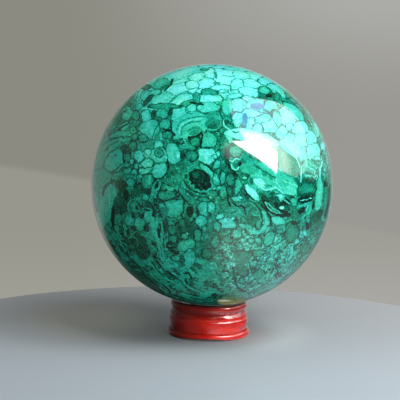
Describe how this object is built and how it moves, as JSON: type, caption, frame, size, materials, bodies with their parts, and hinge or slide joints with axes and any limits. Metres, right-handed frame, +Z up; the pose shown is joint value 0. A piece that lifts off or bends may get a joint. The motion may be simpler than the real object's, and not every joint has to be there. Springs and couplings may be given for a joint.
{
  "type": "decorative sphere",
  "caption": "Polished banded green malachite ball resting on a small turned ring stand in glossy red lacquer.",
  "frame": {"origin": "on the surface that the stand rests on, at the middle of the ring", "axes": "+Z up through the middle of the ring and the ball; -Y is the side that faces the viewer"},
  "size_m": [0.1, 0.1, 0.1129],
  "materials": {
    "malachite": "polished",
    "red_lacquer": "gloss"
  },
  "bodies": {
    "root": {"malachite_sphere": "malachite", "ring_stand": "red_lacquer"}
  },
  "joints": []
}
